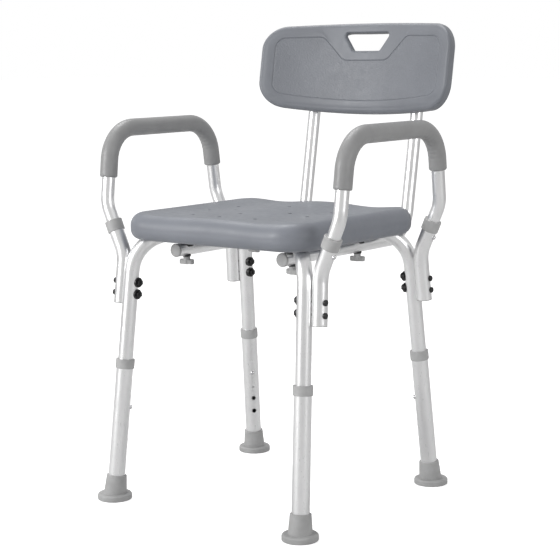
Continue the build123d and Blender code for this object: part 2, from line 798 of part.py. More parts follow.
def back_insert(offset):
    """Brass insert in the backrest, in front of the back tube."""
    on_axis = back_tube_point(panel_centre_z) + back_up() * offset
    front = panel_rear() * -1
    start = on_axis + front * (back_tube_r + back_insert_gap)
    body = rod(start, front, back_insert_r, back_insert_h - back_insert_gap)
    return body - rod(start - front, front, back_screw_r + stem_fit, back_insert_h + 1 - back_insert_floor)


# ---- build and write ------------------------------------------------------------------------------
def fixed_pieces():
    """Pieces of the frame, seat and backrest, which never move against each other."""
    bolts, washers, nuts = zip(*[bolt_set(row) for row in range(2)])
    screws = [back_screw(offset) for offset in back_screw_offsets]
    back_inserts = on_each_side(Compound(children=[back_insert(offset) for offset in back_screw_offsets]))
    seat_inserts = in_each_quadrant(seat_insert())
    leg_spring = snap_spring(leg_point(button_z), button_dir, leg_up, frame_r - frame_wall)
    return {
        "frame_tube_a": frame_tube(1),
        "frame_tube_b": mirror(frame_tube(-1), about=Plane.YZ),
        "cross_rivet": cross_rivet(),
        "seat": seat(),
        "backrest": backrest(),
        "threaded_inserts": Compound(children=list(seat_inserts.solids()) + list(back_inserts.solids())),
        "backrest_screws": on_each_side(Compound(children=screws)),
        "back_tube_left": back_tube(),
        "back_tube_right": mirror(back_tube(), about=Plane.YZ),
        "back_tube_plugs": on_each_side(back_tube_plug()),
        "tube_saddles": in_each_quadrant(tube_saddle()),
        "knob_washers": in_each_quadrant(knob_washer()),
        "socket_bolts": in_each_quadrant(Compound(children=list(bolts))),
        "saddle_washers": in_each_quadrant(Compound(children=list(washers))),
        "lock_nuts": in_each_quadrant(Compound(children=list(nuts))),
        "socket_collars": in_each_quadrant(socket_collar()),
        "socket_plugs": in_each_quadrant(socket_plug()),
        "leg_snap_springs": in_each_quadrant(leg_spring),
    }


def corner_pieces():
    """Pieces that every leg has: its socket, telescopic lower leg, foot, snap button and thumb knob."""
    leg_button = snap_button(leg_point(button_z), button_dir, frame_r - frame_wall, leg_r)
    made = {
        "arm_socket": arm_socket(),
        "lower_leg": lower_leg(),
        "leg_collar": leg_collar(),
        "foot": foot(),
        "foot_washer": foot_washer(),
        "leg_button": leg_button,
        "thumb_knob": thumb_knob(),
        "knob_stud": knob_bolt(),
    }
    pieces = {}
    for corner, (side_x, side_y) in QUADRANTS.items():
        for name, shape in made.items():
            pieces[name + "_" + corner] = reflect(shape, side_x, side_y)
    return pieces


def arm_pieces():
    """Pieces of the two lift-out arms."""
    inner_r = arm_r - arm_wall
    tube = arm_tube()
    pad = arm_pad()
    button = snap_button(arm_button_centre(), arm_button_dir, inner_r, socket_r)
    spring = snap_spring(arm_button_centre(), arm_button_dir, arm_up, inner_r)
    springs = Compound(children=[spring, mirror(spring, about=Plane.XZ)])
    pieces = {}
    for side, side_x in (("left", 1), ("right", -1)):
        pieces["arm_tube_" + side] = reflect(tube, side_x, 1)
        pieces["arm_pad_" + side] = reflect(pad, side_x, 1)
        pieces["arm_snap_springs_" + side] = reflect(springs, side_x, 1)
        pieces["arm_button_front_" + side] = reflect(button, side_x, -1)
        pieces["arm_button_rear_" + side] = reflect(button, side_x, 1)
    return pieces


def build():
    """Write every node, moved so that the origin is at the bottom centre of the whole chair's box."""
    os.makedirs("parts", exist_ok=True)
    pieces = fixed_pieces() | corner_pieces() | arm_pieces()
    boxes = [shape.bounding_box() for shape in pieces.values()]
    front = min(box.min.Y for box in boxes)
    rear = max(box.max.Y for box in boxes)
    to_origin = Pos(0, -(front + rear) / 2, 0)
    for node, shape in pieces.items():
        moved = to_origin * shape
        moved.label = node
        export_step(moved, os.path.join("parts", node + ".step"))
    print("moved along Y by", round(-(front + rear) / 2, 3))


build()
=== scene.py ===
import math

import bmesh
import bpy
import numpy as np
from mathutils import Matrix, Vector


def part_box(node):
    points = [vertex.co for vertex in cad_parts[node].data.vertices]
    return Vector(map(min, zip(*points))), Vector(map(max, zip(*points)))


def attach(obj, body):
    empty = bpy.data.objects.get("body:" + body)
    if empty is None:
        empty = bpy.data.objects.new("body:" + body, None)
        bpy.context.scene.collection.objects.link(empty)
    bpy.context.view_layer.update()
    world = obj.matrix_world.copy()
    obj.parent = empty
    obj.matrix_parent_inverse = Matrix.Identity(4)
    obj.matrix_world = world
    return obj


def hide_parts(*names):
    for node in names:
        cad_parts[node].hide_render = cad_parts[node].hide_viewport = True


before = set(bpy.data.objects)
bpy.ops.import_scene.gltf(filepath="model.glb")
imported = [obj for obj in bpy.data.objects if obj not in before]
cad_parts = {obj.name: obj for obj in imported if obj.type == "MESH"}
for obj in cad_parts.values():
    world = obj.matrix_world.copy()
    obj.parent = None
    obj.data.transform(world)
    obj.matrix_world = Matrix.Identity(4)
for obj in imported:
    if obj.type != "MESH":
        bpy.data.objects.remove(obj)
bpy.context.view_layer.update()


# ---- studio ---------------------------------------------------------------------------------
# A plain white studio: a pale floor that runs out of sight, a large soft key light on the
# camera's left, a weaker fill on its right and a third light overhead, behind the chair.
def aim(thing, place, target):
    """Puts a light or camera at a place and turns its -Z axis to the target."""
    thing.location = place
    thing.rotation_mode = "QUATERNION"
    thing.rotation_quaternion = (Vector(target) - Vector(place)).to_track_quat("-Z", "Y")


def link(obj):
    """Adds an object to the scene and returns it."""
    bpy.context.scene.collection.objects.link(obj)
    return obj


camera_azimuth = math.radians(37.13)
camera_elevation = math.radians(8.55)
camera_roll = math.radians(-0.64)
camera_distance = 2.64075
camera_target = Vector((0.0, -0.02693, 0.368))
camera_back = Vector((
    math.sin(camera_azimuth) * math.cos(camera_elevation),
    -math.cos(camera_azimuth) * math.cos(camera_elevation),
    math.sin(camera_elevation),
))
camera_data = bpy.data.cameras.new("camera")
camera_data.sensor_width = 36.0
camera_data.lens = 98.76
camera_data.clip_end = 100.0
camera = link(bpy.data.objects.new("camera", camera_data))
camera.location = camera_target + camera_back * camera_distance
level = camera_back.to_track_quat("Z", "Y")
camera.rotation_mode = "QUATERNION"
camera.rotation_quaternion = level @ Matrix.Rotation(camera_roll, 3, "Z").to_quaternion()
bpy.context.scene.camera = camera
bpy.context.scene.view_settings.view_transform = "Standard"

# The camera sees a floor that is nearly white, and the chair's polished parts reflect a greyer one.
floor_reach = 30.0
floor_ring = [(-floor_reach, -floor_reach, 0), (floor_reach, -floor_reach, 0),
              (floor_reach, floor_reach, 0), (-floor_reach, floor_reach, 0)]
floor_mesh = bpy.data.meshes.new("studio_floor")
floor_mesh.from_pydata(floor_ring, [], [(0, 1, 2, 3)])
studio_floor = link(bpy.data.objects.new("studio_floor", floor_mesh))
floor_material = bpy.data.materials.new("pale_floor")
floor_material.use_nodes = True
floor_nodes = floor_material.node_tree.nodes
floor_wires = floor_material.node_tree.links
paper = floor_nodes["Principled BSDF"]
paper.inputs["Base Color"].default_value = (0.85, 0.85, 0.85, 1)
paper.inputs["Roughness"].default_value = 0.9
paper.inputs["Specular IOR Level"].default_value = 0.0
paper.inputs["Emission Color"].default_value = (1, 1, 1, 1)
paper.inputs["Emission Strength"].default_value = 0.6
far_paper = floor_nodes.new("ShaderNodeBsdfDiffuse")
far_paper.inputs["Color"].default_value = (0.58, 0.58, 0.58, 1)
sight = floor_nodes.new("ShaderNodeLightPath")
either = floor_nodes.new("ShaderNodeMixShader")
floor_wires.new(sight.outputs["Is Camera Ray"], either.inputs["Fac"])
floor_wires.new(far_paper.outputs[0], either.inputs[1])
floor_wires.new(paper.outputs[0], either.inputs[2])
floor_wires.new(either.outputs[0], floor_nodes["Material Output"].inputs["Surface"])
floor_mesh.materials.append(floor_material)

# What shines on the chair from the sky is a soft even glow. What is seen past it is plain white.
sky_glow = (0.62, 0.60)
sky_heights = (0.05, 0.9)
world = bpy.data.worlds.new("studio")
world.use_nodes = True
bpy.context.scene.world = world
air = world.node_tree.nodes
air_wires = world.node_tree.links
direction = air.new("ShaderNodeTexCoord")
split = air.new("ShaderNodeSeparateXYZ")
lift = air.new("ShaderNodeMapRange")
lift.inputs["From Min"].default_value, lift.inputs["From Max"].default_value = sky_heights
lift.inputs["To Min"].default_value, lift.inputs["To Max"].default_value = sky_glow
shine = air["Background"]
shine.inputs["Color"].default_value = (1, 1, 1, 1)
seen = air.new("ShaderNodeBackground")
seen.inputs["Color"].default_value = (1, 1, 1, 1)
seen.inputs["Strength"].default_value = 1.0
path = air.new("ShaderNodeLightPath")
pick = air.new("ShaderNodeMixShader")
air_wires.new(direction.outputs["Generated"], split.inputs[0])
air_wires.new(split.outputs["Z"], lift.inputs["Value"])
air_wires.new(lift.outputs["Result"], shine.inputs["Strength"])
air_wires.new(path.outputs["Is Camera Ray"], pick.inputs["Fac"])
air_wires.new(shine.outputs[0], pick.inputs[1])
air_wires.new(seen.outputs[0], pick.inputs[2])
air_wires.new(pick.outputs[0], air["World Output"].inputs["Surface"])

light_target = (0, 0, 0.45)
for name, place, size, power in (
    ("key", (-1.7, -3.0, 1.5), 1.5, 72.0),
    ("fill", (3.4, -0.4, 1.3), 1.2, 20.0),
    ("top", (-1.2, 0.6, 3.2), 1.6, 40.0),
):
    light_data = bpy.data.lights.new(name, "AREA")
    light_data.shape = "SQUARE"
    light_data.size = size
    light_data.energy = power
    lamp = link(bpy.data.objects.new(name, light_data))
    aim(lamp, place, light_target)
    lamp.visible_camera = False


# ---- aluminium tubes ----------------------------------------------------------------------------
# Every tube is drawn aluminium with a satin anodised skin. It is bright and nearly white, with
# very fine draw lines, a slight mottle from the anodising bath and a few handling scuffs.
def new_material(name, colour, roughness, metallic=0.0):
    """Principled material with its plain values on the shader; returns it and its node tree."""
    material = bpy.data.materials.new(name)
    material.use_nodes = True
    tree = material.node_tree
    shader = tree.nodes["Principled BSDF"]
    shader.inputs["Base Color"].default_value = (*colour, 1)
    shader.inputs["Roughness"].default_value = roughness
    shader.inputs["Metallic"].default_value = metallic
    return material, tree


def feed(tree, value, socket):
    """Leads a value into one of the shader's sockets."""
    tree.links.new(value, tree.nodes["Principled BSDF"].inputs[socket])


def object_place(tree):
    """Object coordinates: the place on the piece, in metres."""
    return tree.nodes.new("ShaderNodeTexCoord").outputs["Object"]


def noise(tree, scale, detail=4.0, stretch=(1, 1, 1)):
    """Noise on Object coordinates, with so many blotches a metre, stretched along each axis."""
    mapping = tree.nodes.new("ShaderNodeMapping")
    mapping.inputs["Scale"].default_value = stretch
    pattern = tree.nodes.new("ShaderNodeTexNoise")
    pattern.inputs["Scale"].default_value = scale
    pattern.inputs["Detail"].default_value = detail
    tree.links.new(object_place(tree), mapping.inputs["Vector"])
    tree.links.new(mapping.outputs["Vector"], pattern.inputs["Vector"])
    return pattern.outputs["Fac"]


def spread(tree, value, low, high, start=0.3, end=0.7):
    """Maps a pattern's range from start to end onto low to high."""
    node = tree.nodes.new("ShaderNodeMapRange")
    node.inputs["From Min"].default_value = start
    node.inputs["From Max"].default_value = end
    node.inputs["To Min"].default_value = low
    node.inputs["To Max"].default_value = high
    tree.links.new(value, node.inputs["Value"])
    return node.outputs["Result"]


def tint(tree, value, dark, light):
    """Colour between two others, by a pattern."""
    mix = tree.nodes.new("ShaderNodeMix")
    mix.data_type = "RGBA"
    mix.inputs["A"].default_value = (*dark, 1)
    mix.inputs["B"].default_value = (*light, 1)
    tree.links.new(value, mix.inputs["Factor"])
    return mix.outputs["Result"]


def bump(tree, layers):
    """Chains bumps, each a pattern with its depth in metres, into the shader's normal."""
    before = None
    for height, depth in layers:
        node = tree.nodes.new("ShaderNodeBump")
        node.inputs["Distance"].default_value = depth
        tree.links.new(height, node.inputs["Height"])
        if before:
            tree.links.new(before, node.inputs["Normal"])
        before = node.outputs["Normal"]
    feed(tree, before, "Normal")


def satin_aluminium(name, lines, tone=0.92):
    """Anodised aluminium whose draw lines run along the axis that lines stretches least."""
    material, tree = new_material(name, (tone, tone, tone), 0.3, 1.0)
    mottle = spread(tree, noise(tree, 35, 3), 0, 1)
    light = (tone + 0.02, tone + 0.02, tone + 0.02)
    dark = (tone - 0.02, tone - 0.02, tone - 0.015)
    feed(tree, tint(tree, mottle, dark, light), "Base Color")
    drawn = noise(tree, 900, 3, lines)
    feed(tree, spread(tree, drawn, 0.27, 0.36), "Roughness")
    bump(tree, [(drawn, 0.000003), (noise(tree, 60, 2), 0.00001)])
    return material


def dress(material, *names):
    """Gives the CAD nodes whose names start with these words a material."""
    for name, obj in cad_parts.items():
        if name.startswith(names):
            for place in obj.material_slots:
                place.material = material


upright_aluminium = satin_aluminium("satin_upright_tube", (1, 1, 0.03))
bent_aluminium = satin_aluminium("satin_bent_tube", (1, 1, 1))
dress(upright_aluminium, "lower_leg")
dress(bent_aluminium, "frame_tube", "back_tube_left", "back_tube_right", "arm_tube", "arm_socket")


# ---- seat -------------------------------------------------------------------------------------------
# The seat is one hollow blow-moulded panel of grey polyethylene with broadly rounded edges. Its
# top is pressed into two shallow hollows for the thighs and is pierced by drain holes, and its
# underside has two crossing channels that lie on the frame's rails.
MM = 0.001  # lengths below are in millimetres, or are millimetres turned into metres with this
seat_low, seat_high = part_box("seat")
seat_centre = (seat_low + seat_high) / 2
seat_half_x = (seat_high.x - seat_low.x) / 2
seat_half_y = (seat_high.y - seat_low.y) / 2
seat_corner = 57 * MM
seat_top_round = 21 * MM
seat_bottom_round = 17 * MM
hollow_depth = 4.8 * MM
hollow_x = 98 * MM
hollow_width = 54 * MM
hollow_front_end = -60 * MM
hollow_front_run = 70 * MM
seat_bowl = 1.6 * MM
seat_rim_fall = 3.2 * MM
seat_under_rise = 2.6 * MM
drain_radius = 3.6 * MM
drain_arcs = ((200, (0, 19)), (145, (0, 46)), (103, (34, 76)), (10, (0,)))
drain_arc_centre = 60 * MM
drain_past = 20 * MM
foot_out = np.array([197.5, 195.0, 0.0])
leg_lean = np.array([0.041, 0.103, 0.0])
rail_height = 452.4
rail_end_height = 380
rail_bend = 68
rail_room = 13.6 * MM


def weld(obj, distance=1e-6):
    """Merges points that coincide and turns every face outward."""
    work = bmesh.new()
    work.from_mesh(obj.data)
    bmesh.ops.remove_doubles(work, verts=work.verts, dist=distance)
    bmesh.ops.dissolve_degenerate(work, edges=work.edges, dist=distance / 10)
    bmesh.ops.recalc_face_normals(work, faces=work.faces)
    work.to_mesh(obj.data)
    work.free()
    obj.data.shade_smooth()


def grid_mesh(name, points, attribute=None):
    """Closed mesh through a grid of points (rows, columns, 3) whose columns join up in a ring.

    A quad joins (r, c), (r, c + 1), (r + 1, c + 1) and (r + 1, c). Rows that have shrunk to one
    point are merged into a pole. attribute is a name and one value for each point.
    """
    rows, columns = points.shape[:2]
    r, c = np.meshgrid(np.arange(rows - 1), np.arange(columns), indexing="ij")
    near, far = r * columns, (r + 1) * columns
    after = (c + 1) % columns
    quads = np.stack([near + c, near + after, far + after, far + c], -1)
    mesh = bpy.data.meshes.new(name)
    mesh.from_pydata(points.reshape(-1, 3).tolist(), [], quads.reshape(-1, 4).tolist())
    if attribute is not None:
        layer = mesh.attributes.new(attribute[0], "FLOAT", "POINT")
        layer.data.foreach_set("value", attribute[1].ravel().astype(np.float32))
    obj = link(bpy.data.objects.new(name, mesh))
    weld(obj)
    return obj


def rounded_rectangle(half_x, half_y, radius, per_corner=40, per_side=40):
    """Ring of points (n, 2): quarter circles about the four corner centres, and straight sides.

    A quarter circle is centre + radius (cos, sin). A side runs evenly from the end of one quarter
    circle to the start of the next.
    """
    centres = np.array([[1, 1], [-1, 1], [-1, -1], [1, -1]]) * [half_x - radius, half_y - radius]
    starts = np.array([[1, 0], [0, 1], [-1, 0], [0, -1]]) * radius
    share = np.linspace(0, 1, per_side, endpoint=False)[1:, None]
    ring = []
    for quarter in range(4):
        turn = np.linspace(quarter * np.pi / 2, (quarter + 1) * np.pi / 2, per_corner)[:, None]
        arc = centres[quarter] + radius * np.hstack([np.cos(turn), np.sin(turn)])
        after = (quarter + 1) % 4
        ring += [arc, arc[-1] + (centres[after] + starts[after] - arc[-1]) * share]
    return np.vstack(ring)


def seat_relief(x, y):
    """How far the seat's top lies below its highest level, in metres.

    Two troughs along Y, each exp(-((|x| - hollow_x) / width)^2), deepest at the rear and a little
    under half as deep at the front edge by a tanh of Y. A wide shallow bowl is added, the product
    of 1 - (x / half width)^2 and 1 - (y / half depth)^2, and so is a fall towards the rim that
    grows with the square of the nearness to the edge.
    """
    trough = np.exp(-(((np.abs(x) - hollow_x) / hollow_width) ** 2))
    along = 0.72 + 0.28 * np.tanh((y - hollow_front_end) / hollow_front_run)
    bowl = np.clip(1 - (x / seat_half_x) ** 2, 0, 1) * np.clip(1 - (y / seat_half_y) ** 2, 0, 1)
    near_edge = np.maximum(np.abs(x) / seat_half_x, np.abs(y) / seat_half_y)
    rim = np.clip((near_edge - 0.55) / 0.45, 0, 1) ** 2
    return hollow_depth * trough * along + seat_bowl * bowl + seat_rim_fall * rim


def seat_ring(inset):
    """The seat's outline moved inward by an inset: a rounded rectangle with smaller corners."""
    return rounded_rectangle(seat_half_x - inset, seat_half_y - inset, seat_corner - inset)


def seat_surface():
    """Grid from the top's middle out over the rounded rim, down the side and in under the bottom.

    The top is the inner outline shrunk to a point, lowered by the relief. The rims are quarter
    circles, the side is straight, and the underside sinks from its rim with the square of the
    distance inward.
    """
    rows = []
    inner = seat_ring(seat_top_round)
    for share in np.linspace(0, 1, 64, endpoint=False) ** 0.9:
        flat = inner * share
        rows.append(np.column_stack([flat, seat_high.z - seat_relief(*flat.T)]))
    for turn in np.linspace(0, np.pi / 2, 18):
        ring = seat_ring(seat_top_round * (1 - np.sin(turn)))
        level = seat_high.z - seat_relief(*ring.T) - seat_top_round
        rows.append(np.column_stack([ring, level + seat_top_round * np.cos(turn)]))
    base = seat_low.z + seat_bottom_round + seat_under_rise
    outer = seat_ring(0)
    top_of_side = rows[-1][:, 2]
    for share in np.linspace(0, 1, 8)[1:]:
        rows.append(np.column_stack([outer, top_of_side + (base - top_of_side) * share]))
    for turn in np.linspace(0, np.pi / 2, 16)[1:]:
        ring = seat_ring(seat_bottom_round * (1 - np.cos(turn)))
        rows.append(np.column_stack([ring, np.full(len(ring), base - seat_bottom_round * np.sin(turn))]))
    last = rows[-1]
    for share in np.linspace(1, 0, 24)[1:]:
        sink = seat_under_rise * np.clip((1 - share) / 0.3, 0, 1) ** 2
        rows.append(np.column_stack([last[:, :2] * share, last[:, 2] - sink]))
    grid = np.array(rows)
    grid[..., 1] += seat_centre.y
    return grid


def tube_surface(path, radius, columns):
    """Grid of rings round a path (n, 3): point + radius (side cos + over sin), square to the path.

    side is the path's direction crossed with Z, or X where the path is upright. It is turned about
    wherever it would point the other way from the ring before it.
    """
    path = np.asarray(path, float)
    ahead = np.gradient(path, axis=0)
    ahead /= np.linalg.norm(ahead, axis=1)[:, None]
    side = np.cross(ahead, [0.0, 0.0, 1.0])
    side[np.linalg.norm(side, axis=1) < 1e-6] = [1.0, 0.0, 0.0]
    side /= np.linalg.norm(side, axis=1)[:, None]
    opposed = np.einsum("ij,ij->i", side[1:], side[:-1]) < 0
    side[1:] *= np.cumprod(np.where(opposed, -1, 1))[:, None]
    over = np.cross(side, ahead)
    turn = np.linspace(0, 2 * np.pi, columns, endpoint=False)[None, :, None]
    spokes = side[:, None] * np.cos(turn) + over[:, None] * np.sin(turn)
    return path[:, None] + spokes * radius


def rounded_path(corners, radius, arc_points=24):
    """Points along a polyline whose inner corners are replaced by arcs of a radius.

    An arc starts radius / tan(half the inner angle) before its corner, and turns about the point
    that lies radius / sin(half the inner angle) from the corner on the angle's bisector.
    """
    corners = np.asarray(corners, float)
    points = [corners[:1]]
    for before, corner, after in zip(corners[:-2], corners[1:-1], corners[2:]):
        back = (before - corner) / np.linalg.norm(before - corner)
        ahead = (after - corner) / np.linalg.norm(after - corner)
        half = math.acos(float(back @ ahead)) / 2
        middle = (back + ahead) / np.linalg.norm(back + ahead)
        centre = corner + middle * radius / math.sin(half)
        first = corner + back * radius / math.tan(half) - centre
        sweep = math.pi - 2 * half
        turn = np.linspace(0, sweep, arc_points)[:, None]
        points.append(centre + first * np.cos(turn) - radius * back * np.sin(turn))
    points.append(corners[-1:])
    return np.vstack(points)


def capped(grid, start, end):
    """The grid with a ring shrunk to one point added at each end, which closes it."""
    columns = grid.shape[1]
    caps = [np.tile(np.asarray(point, float), (1, columns, 1)) for point in (start, end)]
    return np.concatenate([caps[0], grid, caps[1]])


def closed_rod(name, path, radius, columns):
    """Solid bar along a path, with flat ends closed to a point."""
    return grid_mesh(name, capped(tube_surface(path, radius, columns), path[0], path[-1]))


def carve(obj, cutters):
    """Takes the cutters out of a piece by an exact boolean, then removes them."""
    for cutter in cutters:
        change = obj.modifiers.new("carve", "BOOLEAN")
        change.operation = "DIFFERENCE"
        change.solver = "EXACT"
        change.object = cutter
        bpy.context.view_layer.update()
        depsgraph = bpy.context.evaluated_depsgraph_get()
        carved = bpy.data.meshes.new_from_object(obj.evaluated_get(depsgraph))
        obj.modifiers.clear()
        obj.data = carved
        bpy.data.objects.remove(cutter)
    obj.data.shade_smooth()
    obj.data.set_sharp_from_angle(angle=math.radians(35))
    return obj


def moulded_plastic(name, colour):
    """Blow-moulded polyethylene: faint flow marks in its colour and small changes of gloss.

    Returns the material, its node tree, and its bumps: a fine even grain and a slow waviness.
    """
    roughness = 0.46
    material, tree = new_material(name, colour, roughness)
    dark = tuple(c * 0.93 for c in colour)
    light = tuple(c * 1.05 for c in colour)
    feed(tree, tint(tree, spread(tree, noise(tree, 14, 5), 0, 1), dark, light), "Base Color")
    gloss = spread(tree, noise(tree, 90, 3), roughness - 0.05, roughness + 0.06)
    feed(tree, gloss, "Roughness")
    return material, tree, [(noise(tree, 1500, 3), 0.00006), (noise(tree, 25, 2), 0.0002)]


seat_piece = grid_mesh("seat_panel", seat_surface())
rail_channels = []
for hand in (1, -1):
    corner = foot_out + [0, 0, rail_height] - leg_lean * rail_height
    low = foot_out + [0, 0, rail_end_height] - leg_lean * rail_end_height
    across = np.array([-1, -1, 1])
    route = np.array([low, corner, corner * across, low * across]) * [hand, 1, 1]
    route = rounded_path(route, rail_bend) * MM + [0, seat_centre.y, 0]
    rail_channels.append(closed_rod("rail_channel", route, rail_room, 40))
drains = []
for arc, angles in drain_arcs:
    for angle in sorted({side * angle for angle in angles for side in (-1, 1)}):
        x = arc * MM * math.sin(math.radians(angle))
        y = drain_arc_centre - arc * MM * math.cos(math.radians(angle)) + seat_centre.y
        ends = [(x, y, seat_low.z - drain_past), (x, y, seat_high.z + drain_past)]
        drains.append(closed_rod("drain", ends, drain_radius, 24))
carve(seat_piece, drains + rail_channels)
seat_material, tree, grain = moulded_plastic("seat_polyethylene", (0.205, 0.217, 0.245))
bump(tree, grain)
seat_piece.data.materials.clear()
seat_piece.data.materials.append(seat_material)
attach(seat_piece, "frame")
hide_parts("seat")


# ---- backrest -----------------------------------------------------------------------------------
# The backrest is a hollow blow-moulded panel that curves round the sitter's back. A fine engraved
# line parts its smooth rolled border from a pebbled field, and a hand slot is pinched through it.
# Two channels in its rear take the back tubes.
back_lean = math.radians(10.34)
panel_half_width = 204
panel_half_height = 73
panel_top_drop = 3
panel_top_bulge = 16
panel_bottom_bulge = 9
panel_corner = 43
panel_round = 9
panel_thick = 26
panel_front_radius = 428
panel_axis_y = -442.97
line_half_width = 177.5
line_top = 51
line_top_rise = 9
line_bottom = -50
line_bottom_drop = 8
line_notch_top = 90
line_notch_bottom = 47
line_notch_height = 15.5
line_corner = 20
line_reach = 2.6
line_groove = 0.8
line_groove_half_width = 0.75
field_sink = 0.6
field_edge = 0.35
border_fall = 1.4
panel_heart = np.array([0.0, -45.0])
slot_ring = ((51, 66), (-51, 66), (-27.5, 33.5), (27.5, 33.5))
slot_corner = 5
slot_lip = 5.5
slot_throat = 8
slot_flare = 14
slot_rise = 1
slot_rear_lip = 4
slot_past_front = (6, 9)
slot_past_rear = 8
post_x = 112
post_room = 11.25
post_bottom = -130
post_top = 43.75
pebbles_a_metre = 420
pebble_height = 0.0005


def rounded_polygon(corners, radius, count):
    """Closed ring of evenly spaced points (count, 2) round a polygon whose corners are arcs."""
    corners = np.asarray(corners, float)
    middle = (corners[-1] + corners[0]) / 2
    route = np.vstack([middle, corners, middle])
    route = rounded_path(np.column_stack([route, np.zeros(len(route))]), radius, 16)[:, :2]
    steps = np.linalg.norm(np.diff(route, axis=0), axis=1)
    walked = np.concatenate([[0], np.cumsum(steps)])
    wanted = np.linspace(0, walked[-1], count, endpoint=False)
    return np.column_stack([np.interp(wanted, walked, route[:, 0]), np.interp(wanted, walked, route[:, 1])])


def ring_normals(ring):
    """Outward unit normals (n, 2) of a ring of points that runs anticlockwise."""
    along = np.roll(ring, -1, axis=0) - np.roll(ring, 1, axis=0)
    along /= np.linalg.norm(along, axis=1)[:, None]
    return np.column_stack([along[:, 1], -along[:, 0]])


def panel_edge_distance(x, z):
    """Signed distance to the panel's outline, below zero inside it.

    The outline's bowed top and bottom are first straightened by dividing z by 1 + (bow (1 -
    (x / half width)^2) - drop) / half height. Then it is the distance to a rectangle with round
    corners.
    """
    bow = np.where(z > 0, panel_top_bulge, panel_bottom_bulge)
    drop = np.where(z > 0, panel_top_drop, 0)
    z = z / (1 + (bow * np.clip(1 - (x / panel_half_width) ** 2, 0, 1) - drop) / panel_half_height)
    qx = np.abs(x) - (panel_half_width - panel_corner)
    qz = np.abs(z) - (panel_half_height - panel_corner)
    outside = np.hypot(np.maximum(qx, 0), np.maximum(qz, 0))
    return outside + np.minimum(np.maximum(qx, qz), 0) - panel_corner


def panel_point(x, depth, z):
    """Points (.., 3) in metres of the leaning panel, depth millimetres behind its curved front face.

    Across the panel the face is an arc: y = axis + sqrt((radius + depth)^2 - x^2). The panel then
    leans back by turning about X.
    """
    y = panel_axis_y + np.sqrt((panel_front_radius + depth) ** 2 - x**2)
    lean_y = y * math.cos(back_lean) + z * math.sin(back_lean)
    lean_z = z * math.cos(back_lean) - y * math.sin(back_lean)
    return np.stack([x, lean_y, lean_z], -1) * MM


def engraved_line(columns):
    """The engraved line: a closed ring (columns, 2) with soft corners.

    It is a bowed bottom edge, a bowed top edge, and a notch under the hand slot. The bows are
    parabolas, 1 - (x / half width)^2.
    """
    low_x = np.linspace(-line_half_width, line_half_width, 13)
    low_z = line_bottom - line_bottom_drop * (1 - (low_x / line_half_width) ** 2)
    top_x = np.linspace(line_half_width, line_notch_top, 4)
    top_z = line_top + line_top_rise * (1 - (top_x / line_half_width) ** 2)
    notch = [(line_notch_bottom, line_notch_height), (-line_notch_bottom, line_notch_height)]
    corners = np.vstack([
        np.column_stack([low_x, low_z]), np.column_stack([top_x, top_z]), notch,
        np.column_stack([-top_x[::-1], top_z[::-1]]),
    ])
    shortest = np.linalg.norm(corners - np.roll(corners, 1, axis=0), axis=1).min()
    return rounded_polygon(corners, min(line_corner, shortest * 0.9), columns)


def line_depth(offset):
    """Depth of the face this far outside the engraved line.

    A smooth step 1 / (1 + exp(offset / edge)) down into the field, and a groove
    exp(-(offset / half width)^2).
    """
    step = field_sink / (1 + math.exp(offset / field_edge))
    return step + line_groove * math.exp(-((offset / line_groove_half_width) ** 2))


def rim_ring(line):
    """Where the flat face ends on each ray from the heart through the line, and the way outward.

    The place is found by halving, as the last point that is a rim's radius inside the outline.
    The way outward is the slope of the distance to the outline.
    """
    reach = line - panel_heart
    low, high = np.ones(len(line)), np.full(len(line), 30.0)
    for _ in range(48):
        middle = (low + high) / 2
        inside = panel_edge_distance(*(panel_heart + reach * middle[:, None]).T) < -panel_round
        low, high = np.where(inside, middle, low), np.where(inside, high, middle)
    edge = panel_heart + reach * low[:, None]
    x, z = edge.T
    small = 0.01
    slope = np.column_stack([
        panel_edge_distance(x + small, z) - panel_edge_distance(x - small, z),
        panel_edge_distance(x, z + small) - panel_edge_distance(x, z - small),
    ])
    return edge, slope / np.linalg.norm(slope, axis=1)[:, None]


def panel_grid(columns=560):
    """Rings from the field's middle out over the engraved line, border and rim to the rear's middle.

    Returns the grid, and 1 in the pebbled field or 0 outside it for each of its points.
    """
    line = engraved_line(columns)
    out = ring_normals(line)
    edge, slope = rim_ring(line)
    near, far = line - out * line_reach, line + out * line_reach
    rim_turns = np.linspace(0, np.pi / 2, 11)
    rings = [(panel_heart + (near - panel_heart) * share, line_depth(-line_reach), 1)
             for share in np.linspace(0, 1, 34)]
    rings += [(line + out * offset, line_depth(offset), offset < 0)
              for offset in (-2.1, -1.6, -1.2, -0.8, -0.4, 0.0, 0.4, 0.8, 1.2, 1.6, 2.1, line_reach)]
    rings += [(far + (edge - far) * share, border_fall * share**3, 0)
              for share in np.linspace(0, 1, 22)[1:]]
    front_rim = panel_round - border_fall
    rings += [(edge + slope * panel_round * math.sin(turn),
               border_fall + front_rim * (1 - math.cos(turn)), 0) for turn in rim_turns[1:]]
    rings += [(edge + slope * panel_round, panel_round + (panel_thick - 2 * panel_round) * share, 0)
              for share in np.linspace(0, 1, 4)[1:]]
    rings += [(edge + slope * panel_round * math.sin(turn),
               panel_thick - panel_round * (1 - math.cos(turn)), 0) for turn in rim_turns[::-1][1:]]
    rings += [(panel_heart + (edge - panel_heart) * share, panel_thick, 0)
              for share in np.linspace(1, 0, 18)[1:]]
    flat = np.array([ring for ring, _, _ in rings])
    depth = np.array([[depth] for _, depth, _ in rings])
    field = np.array([[float(inside)] for _, _, inside in rings])
    return panel_point(flat[..., 0], depth, flat[..., 1]), np.tile(field, (1, columns))


